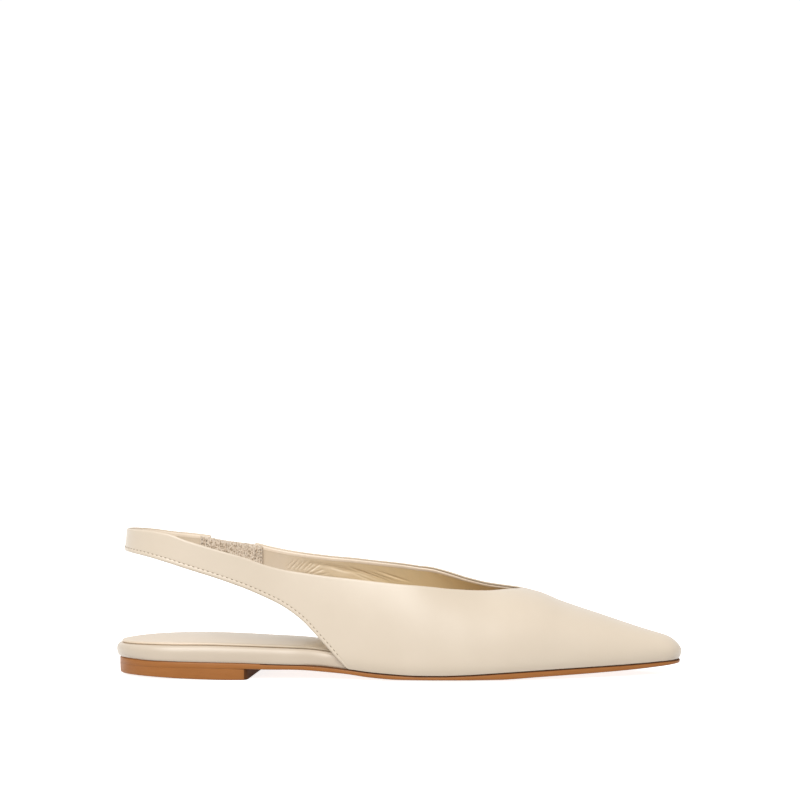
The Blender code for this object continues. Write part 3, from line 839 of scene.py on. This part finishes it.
class Wall:
    """One layer of the upper as a net of points by side, column and row, with their normals.

    The two sides share the ridge ahead of the throat and the column at the toe tip.
    """

    def __init__(self, trim, net):
        self.net = net
        self.columns = {side: side_columns(side, trim, net) for side in (LATERAL, MEDIAL)}
        self.rows = len(LOW_ROWS) + net.rows - 1 + net.fine_rows + len(TOP_ROWS)
        self.points = {}
        for side, columns in self.columns.items():
            for number, column in enumerate(columns):
                for row, point in enumerate(column_points(column, net)):
                    self.points.setdefault(self.key(side, number, row), point)
        self.faces = []
        for side, columns in self.columns.items():
            for number in range(len(columns) - 1):
                for row in range(self.rows - 1):
                    self.add_face(side, number, row)
        self.normals = {key: Vector() for key in self.points}
        for face in self.faces:
            first, second, third = (self.points[key] for key in (face[0], face[1], face[2]))
            across = (second - first).cross(self.points[face[-1]] - first)
            if len(face) == 4:
                across = (third - first).cross(self.points[face[3]] - second)
            for key in face:
                self.normals[key] += across
        for normal in self.normals.values():
            normal.normalize()

    def key(self, side, number, row):
        if row == self.rows - 1 and number <= self.net.toe + self.net.vamp:
            return LATERAL, max(number, self.net.toe), row
        return (LATERAL if number == 0 else side), number, row

    def add_face(self, side, number, row):
        corners = [(number, row), (number + 1, row), (number + 1, row + 1), (number, row + 1)]
        corners = corners if side == MEDIAL else corners[::-1]
        keys = [self.key(side, *corner) for corner in corners]
        face = [key for k, key in enumerate(keys) if key != keys[k - 1]]
        self.faces.append(face)

    def rim(self):
        """Round the whole edge: along the outer foot to the strap's end, back along the topline."""
        top, throat = self.rows - 1, self.net.toe + self.net.vamp
        outer, inner = len(self.columns[LATERAL]) - 1, len(self.columns[MEDIAL]) - 1
        run = [(LATERAL, number, 0) for number in range(outer)]
        run += [(LATERAL, outer, row) for row in range(top)]
        run += [(LATERAL, number, top) for number in range(outer, throat, -1)]
        run += [(MEDIAL, number, top) for number in range(throat, inner)]
        run += [(MEDIAL, inner, row) for row in range(top, 0, -1)]
        run += [(MEDIAL, number, 0) for number in range(inner, 0, -1)]
        return [self.key(*place) for place in run]

    def fold(self, key):
        """How far the edge is folded here: 0 along the lasted foot, 1 on a cut edge."""
        side, number, row = key
        last = len(self.columns[side]) - 1
        return self.columns[side][number].fold if row == 0 and number < last else 1.0


# Section of a folded edge, from the outer face round the rim to the lining: depth in, and way out,
# both in mm. The topline has the leather's own rim, then a cut edge that turns from cream to tan
# towards the throat, and a bead painted lighter than the leather as its highlight. The two tuples
# below list the strips of the cut edge and of the bead between these points, counted from the outer
# face.
ROUND_STEPS = 10
PLAIN_TAIL = ((1.83, -0.25), (1.78, -0.4), (1.62, -0.52), (1.4, -0.56))
TOP_RIM = ((0.0, 0.45), (0.12, 0.85), (0.45, 1.08), (0.76, 0.98))
TOP_CUT = ((0.9, 0.74), (0.97, 0.4), (1.0, 0.08))
TOP_BEAD = ((1.12, 0.25), (1.45, 0.45), (1.78, 0.3), (1.95, -0.1), (1.98, -0.6), (1.94, -1.08))
TOP_TAIL = ((1.5, -1.22),)
CUT_STRIPS, BEAD = (5, 6, 7), (8, 9, 10, 11, 12)

turns = steps(0, math.pi, ROUND_STEPS)[1:]
plain_fold = [(FOLD_ROUND * (1 - math.cos(turn)), FOLD_ROUND * math.sin(turn)) for turn in turns]
plain_fold += [(depth * MM, way_out * MM) for depth, way_out in PLAIN_TAIL]
top_edge = TOP_RIM + TOP_CUT + TOP_BEAD + TOP_TAIL
top_fold = [(depth * MM, way_out * MM) for depth, way_out in top_edge]

outer_wall = Wall(FOLD_ROUND, LEATHER_NET)
inner_wall = Wall(FOLD_ROUND + FOLD_DEPTH, LEATHER_NET)


def edge_relief(run):
    """Height of the leather by its distance from a sewn edge: padded fold, then stitch groove."""
    puff = EDGE_PUFF * (1 - smooth_step(run, PUFF_FULL, STITCH_LINE))
    return puff - STITCH_GROOVE * math.exp(-(((run - STITCH_LINE) / GROOVE_WIDTH) ** 2))


bm = bmesh.new()
outer_points = {}
for key, point in outer_wall.points.items():
    side, number, row = key
    relief = 0.0
    if row < len(LOW_ROWS):
        relief = edge_relief(LOW_ROWS[row]) * outer_wall.columns[side][number].fold
    outer_points[key] = point + outer_wall.normals[key] * relief
outer_verts = {key: bm.verts.new(point) for key, point in outer_points.items()}
inner_verts = {}
for key, point in inner_wall.points.items():
    inner_verts[key] = bm.verts.new(point - inner_wall.normals[key] * LEATHER)
for face in outer_wall.faces:
    bm.faces.new([outer_verts[key] for key in face])
for face in inner_wall.faces:
    bm.faces.new([inner_verts[key] for key in face[::-1]])
rim = outer_wall.rim()
rim_verts = []
for k, key in enumerate(rim):
    along = outer_points[rim[(k + 1) % len(rim)]] - outer_points[rim[k - 1]]
    normal = outer_wall.normals[key]
    outward = normal.cross(along).normalized()
    fold = outer_wall.fold(key)
    profile = top_fold if key[2] == outer_wall.rows - 1 else plain_fold
    strip = [outer_verts[key]]
    for turn, (depth, way_out) in enumerate(profile):
        plain = outer_points[key] - normal * LEATHER * (turn + 1) / (len(profile) + 1)
        folded = outer_points[key] - normal * depth + outward * way_out
        strip.append(bm.verts.new(plain.lerp(folded, fold)))
    rim_verts.append(strip + [inner_verts[key]])
for k, strip in enumerate(rim_verts):
    on_top = rim[k][2] == outer_wall.rows - 1
    for turn in range(len(strip) - 1):
        before = rim_verts[k - 1]
        face = bm.faces.new((before[turn], strip[turn], strip[turn + 1], before[turn + 1]))
        if on_top:
            face.material_index = (turn in CUT_STRIPS) + 2 * (turn in BEAD)
bmesh.ops.recalc_face_normals(bm, faces=bm.faces)
upper_leather = soft_leather(
    "smooth_cream", UPPER_CREAM, UPPER_PALE, roughness=0.40, grain=0.08, cells=1600
)
topline_cut_edge = soft_leather(
    "topline_cut_edge", EDGE_CREAM, UPPER_CREAM, roughness=0.5, grain=0.05, cells=1600
)
# The cut edge along the topline turns from cream to tan towards the throat.
deepen(topline_cut_edge, EDGE_TAN, EDGE_CREAM_X, EDGE_TAN_X)
# Painted highlight: the bead is coloured lighter than the leather it is folded from.
bead_painted_highlight = soft_leather("bead_painted_highlight", BEAD_HIGHLIGHT_CREAM, BEAD_HIGHLIGHT_PALE, roughness=0.4, grain=0.05, cells=1600)
upper = add_piece("upper_leather", bm, upper_leather, topline_cut_edge, bead_painted_highlight)
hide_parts("upper")


# Lining
# Tan satin lining leather, glued inside the vamp, the quarters and the strap, and trimmed under the
# folded edge. It wrinkles a little where the inner quarter bends towards the elastic.
# Towards the throat its colour is painted lighter and more golden, as light over the shade there.
LINING_TRIM = FOLD_ROUND + 1.0 * MM
LINING_BACK, LINING_FACE = LEATHER + 0.05 * MM, LEATHER + 0.88 * MM
LINING_NET = Net(8, 14, 20, 24, 36, 20, 18, 134, 190, 8, 52)
LINING_TAN, LINING_PALE = (0.66, 0.53, 0.375), (0.70, 0.57, 0.42)
# Painted light: the lining turns lighter and more golden towards the throat, where it lies in
# shade.
LINING_LIT_GOLD = (0.86, 0.645, 0.35)
LINING_TAN_X, LINING_LIT_GOLD_X = 75 * MM, 150 * MM

# Soft wrinkles, on the inner side: middle, half length, turn from level in degrees, half
# width and height in mm, a long raised fold over a long hollow, and then the fine ones across them
Crease = namedtuple("Crease", "x z along turn width height")
CREASES = (
    Crease(95.5, 48.8, 7.0, -9, 1.00, 0.30),
    Crease(108.0, 46.3, 9.0, -13, 1.00, 0.36),
    Crease(120.5, 42.6, 8.0, -18, 1.00, 0.30),
    Crease(84.5, 46.2, 9.0, -9, 1.90, -0.34),
    Crease(98.0, 44.2, 9.0, -11, 1.90, -0.40),
    Crease(112.0, 41.2, 9.0, -15, 1.90, -0.40),
    Crease(80.4, 49.4, 2.6, 46, 0.30, 0.13),
    Crease(82.4, 49.0, 3.1, 47, 0.32, 0.19),
    Crease(84.6, 48.7, 2.7, 44, 0.30, 0.16),
    Crease(86.4, 48.9, 3.2, 46, 0.32, 0.20),
    Crease(88.6, 48.4, 2.8, 42, 0.32, 0.18),
    Crease(90.3, 48.3, 2.4, 39, 0.30, 0.14),
    Crease(92.4, 47.8, 2.7, 33, 0.34, 0.16),
    Crease(89.6, 45.9, 2.6, 31, 0.34, 0.15),
    Crease(93.2, 45.7, 3.2, 20, 0.36, 0.18),
    Crease(96.2, 44.6, 2.6, 11, 0.36, 0.14),
    Crease(104.4, 46.3, 3.6, -15, 0.38, 0.17),
    Crease(112.2, 46.3, 5.0, -20, 0.36, 0.22),
    Crease(118.2, 44.3, 8.0, -20, 0.38, 0.27),
    Crease(115.9, 42.4, 5.2, -23, 0.36, 0.20),
    Crease(123.7, 43.3, 6.8, -21, 0.36, 0.25),
    Crease(127.2, 43.9, 6.0, -20, 0.38, 0.21),
    Crease(131.2, 42.6, 5.4, -18, 0.42, 0.20),
)


def crease_relief(point):
    """Height of the wrinkles at a point of the lining."""
    height = 0.0
    for crease in CREASES:
        turn = math.radians(crease.turn)
        ahead, above = point.x - crease.x * MM, point.z - crease.z * MM
        along = (ahead * math.cos(turn) + above * math.sin(turn)) / (crease.along * MM)
        across = (above * math.cos(turn) - ahead * math.sin(turn)) / (crease.width * MM)
        height += crease.height * MM * math.exp(-(across**2) - along**4)
    return height


lining_wall = Wall(LINING_TRIM, LINING_NET)
bm = bmesh.new()
back_verts, face_verts = {}, {}
for key, point in lining_wall.points.items():
    normal = lining_wall.normals[key]
    relief = crease_relief(point) if point.y > 0 else 0.0
    back_verts[key] = bm.verts.new(point - normal * LINING_BACK)
    face_verts[key] = bm.verts.new(point - normal * (LINING_FACE - relief))
for face in lining_wall.faces:
    bm.faces.new([back_verts[key] for key in face])
    bm.faces.new([face_verts[key] for key in face[::-1]])
rim = lining_wall.rim()
for before, key in zip(rim[-1:] + rim[:-1], rim):
    bm.faces.new((back_verts[before], back_verts[key], face_verts[key], face_verts[before]))
bmesh.ops.recalc_face_normals(bm, faces=bm.faces)
satin_tan = soft_leather(
    "satin_tan", LINING_TAN, LINING_PALE, roughness=0.34, grain=0.12, cells=1300
)
# Painted light over the shade at the throat, on the lining's own tan.
deepen(satin_tan, LINING_LIT_GOLD, LINING_TAN_X, LINING_LIT_GOLD_X)
lining = add_piece("upper_lining", bm, satin_tan)


# Stitching
# One row of dark beige lockstitch, two millimetres inside the cut edge of the wing and the strap,
# and a short row across each end that holds the elastic.
STITCH_PITCH = 2.3 * MM
STITCH_LENGTH = 1.05 * MM
THREAD_WIDTH, THREAD_HEIGHT = 0.2 * MM, 0.16 * MM
STITCH_START, STITCH_SINK = 0.2 * MM, 0.12 * MM
STITCH_PARTS, STITCH_SIDES, STITCH_TAPER, THREAD_LAID = 6, 8, 0.12, 0.3
END_ROW, ROWS_CLEAR = 2.2 * MM, 3
SEWN_FROM_X = 104.8 * MM
THREAD, THREAD_PALE = (0.29, 0.22, 0.145), (0.35, 0.27, 0.18)
THREAD_TWIST = 3000


def add_stitches(bm, path, normals, length, pitch):
    """Row of short raised stitches along a path that lies on leather."""
    runs = runs_along(path)
    start = STITCH_START
    while start + length < runs[-1]:
        rings = []
        for part in steps(0, 1, STITCH_PARTS):
            run = start + length * part
            k = max(i for i in range(len(runs) - 1) if runs[i] <= run)
            share = (run - runs[k]) / (runs[k + 1] - runs[k])
            normal = normals[k].lerp(normals[k + 1], share)
            aside = normal.cross(path[k + 1] - path[k]).normalized()
            swell = math.sqrt(math.sin(math.pi * (STITCH_TAPER + (1 - 2 * STITCH_TAPER) * part)))
            rise = THREAD_HEIGHT * (swell - THREAD_LAID) - STITCH_SINK * (1 - swell)
            middle = path[k].lerp(path[k + 1], share) + normal * rise
            ring = []
            for turn in steps(0, 2 * math.pi, STITCH_SIDES)[:-1]:
                point = middle + aside * math.cos(turn) * THREAD_WIDTH * swell
                ring.append(bm.verts.new(point + normal * math.sin(turn) * THREAD_HEIGHT * swell))
            rings.append(ring)
        for ring, following in zip(rings, rings[1:]):
            for k in range(len(ring)):
                bm.faces.new((ring[k - 1], ring[k], following[k], following[k - 1]))
        bm.faces.new(rings[0])
        bm.faces.new(rings[-1])
        start += pitch


bm = bmesh.new()
for side, columns in outer_wall.columns.items():
    sewn = [k for k, column in enumerate(columns) if column.section.origin.x < SEWN_FROM_X]
    ends = [outer_points[outer_wall.key(side, number, 0)] for number in sewn[-2:]]
    end_number = sewn[-1] - round((END_ROW - FOLD_ROUND) / (ends[0] - ends[1]).length)
    along = [outer_wall.key(side, number, STITCH_ROW) for number in sewn if number <= end_number]
    up_rows = range(STITCH_ROW + ROWS_CLEAR, outer_wall.rows - ROWS_CLEAR)
    up = [outer_wall.key(side, end_number, row) for row in up_rows]
    for keys in (along, up):
        points = [outer_points[key] for key in keys]
        normals = [outer_wall.normals[key] for key in keys]
        add_stitches(bm, points, normals, STITCH_LENGTH, STITCH_PITCH)
bmesh.ops.recalc_face_normals(bm, faces=bm.faces)
thread = soft_leather("thread", THREAD, THREAD_PALE, roughness=0.7, grain=0.2, cells=THREAD_TWIST)
stitching = add_piece("upper_stitching", bm, thread)


# Elastic
# Short strip of ribbed elastic knit, grey beige with pale and brown yarns. Its two ends lie behind
# the strap's end and the inner quarter and are sewn to them.
ELASTIC_TURN = math.radians(19.5)
ELASTIC_END_X = 67.3 * MM
ELASTIC_TRIM = 0.7 * MM
ELASTIC_SAG = 0.5 * MM
ELASTIC_INSET = 2.3 * MM
ELASTIC_THICKNESS, ELASTIC_THIN = 1.0 * MM, 0.6
ELASTIC_TURNS, ELASTIC_STATIONS, ELASTIC_ROWS, TOP_BAND_ROWS = 56, 96, 28, 5
RIB_PITCH, RIB_HEIGHT = 0.95 * MM, 0.13 * MM
YARN_PALE, YARN_GREY, YARN_BROWN = (0.82, 0.70, 0.57), (0.62, 0.50, 0.38), (0.42, 0.32, 0.22)
TOP_BAND_PALE, TOP_BAND_CREAM, TOP_BAND_BEIGE = (0.86, 0.75, 0.63), (0.76, 0.64, 0.51), (0.62, 0.50, 0.38)
TACK_LENGTH, TACK_PITCH = 0.9 * MM, 1.7 * MM
TACK_ROWS, TACK_CLEAR = (0.7 * MM, 3.3 * MM), 3
TACK_BROWN, TACK_DEEP_BROWN = (0.20, 0.145, 0.095), (0.15, 0.105, 0.065)


def elastic_ring(section, run, whole):
    """Ring of the strip: up its outer face and down its inner one, both ribbed."""
    column = cut_column(section._replace(reach=section.reach - ELASTIC_INSET), MEDIAL, 0)
    sag = ELASTIC_TRIM + ELASTIC_SAG * math.sin(math.pi * min(max(run / whole, 0), 1)) ** 2
    low = angle_at(column.section, wall_point(column.section, column.low).z + ELASTIC_TRIM)
    high = angle_at(column.section, wall_point(column.section, column.high).z - sag)
    rib = RIB_HEIGHT * math.cos(2 * math.pi * run / RIB_PITCH)
    outer, inner = [], []
    for share in steps(0, 1, ELASTIC_ROWS):
        point = wall_point(column.section, low + (high - low) * share)
        thick = ELASTIC_THICKNESS * (ELASTIC_THIN if share in (0, 1) else 1.0)
        middle = point - section.heading * ELASTIC_THICKNESS / 2
        outer.append(middle + section.heading * (thick / 2 - RIB_HEIGHT + rib))
        inner.append(middle - section.heading * (thick / 2 - RIB_HEIGHT + rib))
    return outer + inner[::-1]


sections = [heel_section(MEDIAL, turn) for turn in steps(ELASTIC_TURN, 0, ELASTIC_TURNS)]
sections += [side_section(x, MEDIAL) for x in steps(HEEL_X, ELASTIC_END_X, ELASTIC_STATIONS)[1:]]
places = [section.origin + section.heading * section.reach for section in sections]
runs = runs_along(places)
rings = [elastic_ring(section, run, runs[-1]) for section, run in zip(sections, runs)]


def elastic_knit(name, pale, grey, brown):
    made, tree, shader = new_surface(name)
    place_on = tree.nodes.new("ShaderNodeTexCoord").outputs["Object"]
    cells = {"Vector": place_on, "Scale": 1700.0, "Randomness": 0.8}
    loops = place(tree, "ShaderNodeTexVoronoi", cells)
    pick = place(tree, "ShaderNodeSeparateColor", {0: loops.outputs["Color"]})
    dark = blend(tree, spread(tree, pick.outputs[0], 0.25, 0.4, 0.0, 1.0), brown, grey)
    yarns = blend(tree, spread(tree, pick.outputs[1], 0.45, 0.6, 0.0, 1.0), dark, pale)
    tree.links.new(yarns, shader.inputs["Base Color"])
    height = spread(tree, loops.outputs["Distance"], 0.0, 0.6, 1.0, 0.0)
    emboss(tree, shader, height, strength=0.6, depth=0.3 * MM)
    shader.inputs["Roughness"].default_value = 0.85
    shader.inputs["Sheen Weight"].default_value = 0.3
    return made


bm = skin(rings)
bm.faces.ensure_lookup_table()
# Faces along the strip's top edge, outside and inside, take the second knit's lighter colours.
for number in range((len(rings) - 1) * len(rings[0])):
    from_top_edge = abs(number % len(rings[0]) - ELASTIC_ROWS - 1)
    bm.faces[number].material_index = int(from_top_edge < TOP_BAND_ROWS)
ribbed_knit = elastic_knit("ribbed_knit", YARN_PALE, YARN_GREY, YARN_BROWN)
top_band_knit = elastic_knit("top_band_knit", TOP_BAND_PALE, TOP_BAND_CREAM, TOP_BAND_BEIGE)
elastic = add_piece("elastic_strip", bm, ribbed_knit, top_band_knit)
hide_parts("elastic_gore")

bm = bmesh.new()
for inside_end in TACK_ROWS:
    for place_along in (inside_end, runs[-1] - inside_end):
        number = min(range(len(runs)), key=lambda k: abs(runs[k] - place_along))
        path = rings[number][-TACK_CLEAR : ELASTIC_ROWS + TACK_CLEAR : -1]
        inward = [-sections[number].heading for _ in path]
        add_stitches(bm, path, inward, TACK_LENGTH, TACK_PITCH)
bmesh.ops.recalc_face_normals(bm, faces=bm.faces)
tack_thread = soft_leather(
    "tack_thread", TACK_BROWN, TACK_DEEP_BROWN, roughness=0.7, grain=0.2, cells=THREAD_TWIST
)
tacks = add_piece("elastic_stitching", bm, tack_thread)


# Studio
# Pale seamless floor in a white room, with one broad soft light from above the camera, to its left.
# The camera looks at the outer side from a little above, through a long lens.
FLOOR_SIZE = 40.0
FLOOR_PALE, FLOOR_BOUNCE = (0.96, 0.96, 0.96), (0.24, 0.24, 0.24)
FLOOR_GLOW = 0.84
ROOM_WHITE, ROOM_FILL = 1.05, 0.54
SOFT_SPREAD = math.radians(50)
KEY_LEVEL, KEY_FROM = 1.97, Vector((-0.32, -1.0, 0.9))
CAMERA_TARGET = Vector((0, 0, 0.03315))
CAMERA_DISTANCE, CAMERA_RISE = 1.2, math.radians(5.5)
SENSOR, LENS = 36.0, 115.776
PICTURE_WIDTH, PIXELS_UP, PIXELS_RIGHT = 800, 201.5, 0.6
LENS_PIXELS = LENS / SENSOR * PICTURE_WIDTH
TILT_UP, TURN_RIGHT = math.atan(PIXELS_UP / LENS_PIXELS), math.atan(PIXELS_RIGHT / LENS_PIXELS)

bm = bmesh.new()
bmesh.ops.create_grid(bm, x_segments=1, y_segments=1, size=FLOOR_SIZE / 2)
floor_mesh = bpy.data.meshes.new("floor")
bm.to_mesh(floor_mesh)
bm.free()
floor = bpy.data.objects.new("floor", floor_mesh)
bpy.context.scene.collection.objects.link(floor)
paper, tree, paper_shader = new_surface("floor_paper")
lighting = place(tree, "ShaderNodeLightPath", {}).outputs["Is Diffuse Ray"]
shade = blend(tree, lighting, FLOOR_PALE, FLOOR_BOUNCE)
tree.links.new(shade, paper_shader.inputs["Base Color"])
glow = spread(tree, lighting, 0.0, 1.0, FLOOR_GLOW, 0.0)
lit = blend(tree, glow, (0, 0, 0), (1, 1, 1))
tree.links.new(lit, paper_shader.inputs["Emission Color"])
paper_shader.inputs["Emission Strength"].default_value = 1.0
paper_shader.inputs["Roughness"].default_value = 0.9
paper_shader.inputs["Specular IOR Level"].default_value = 0.2
floor_mesh.materials.append(paper)

world = bpy.data.worlds.new("studio")
bpy.context.scene.world = world
world.use_nodes = True
background = world.node_tree.nodes["Background"]
background.inputs["Color"].default_value = (1, 1, 1, 1)
lighting = place(world.node_tree, "ShaderNodeLightPath", {}).outputs["Is Diffuse Ray"]
level = spread(world.node_tree, lighting, 0.0, 1.0, ROOM_WHITE, ROOM_FILL)
world.node_tree.links.new(level, background.inputs["Strength"])

light = bpy.data.lights.new("key", "SUN")
light.energy = KEY_LEVEL
light.angle = SOFT_SPREAD
lamp = bpy.data.objects.new("key", light)
lamp.rotation_mode = "QUATERNION"
lamp.rotation_quaternion = (-KEY_FROM).to_track_quat("-Z", "Y")
bpy.context.scene.collection.objects.link(lamp)

camera = bpy.data.objects.new("camera", bpy.data.cameras.new("camera"))
camera.data.sensor_width = SENSOR
camera.data.lens = LENS
back = Vector((0, -math.cos(CAMERA_RISE), math.sin(CAMERA_RISE)))
camera.location = CAMERA_TARGET + back * CAMERA_DISTANCE
camera.rotation_mode = "QUATERNION"
looking = (-back).to_track_quat("-Z", "Y")
looking = looking @ Quaternion((1, 0, 0), TILT_UP) @ Quaternion((0, 1, 0), -TURN_RIGHT)
camera.rotation_quaternion = looking
bpy.context.scene.collection.objects.link(camera)
bpy.context.scene.camera = camera
bpy.context.scene.view_settings.view_transform = "Standard"
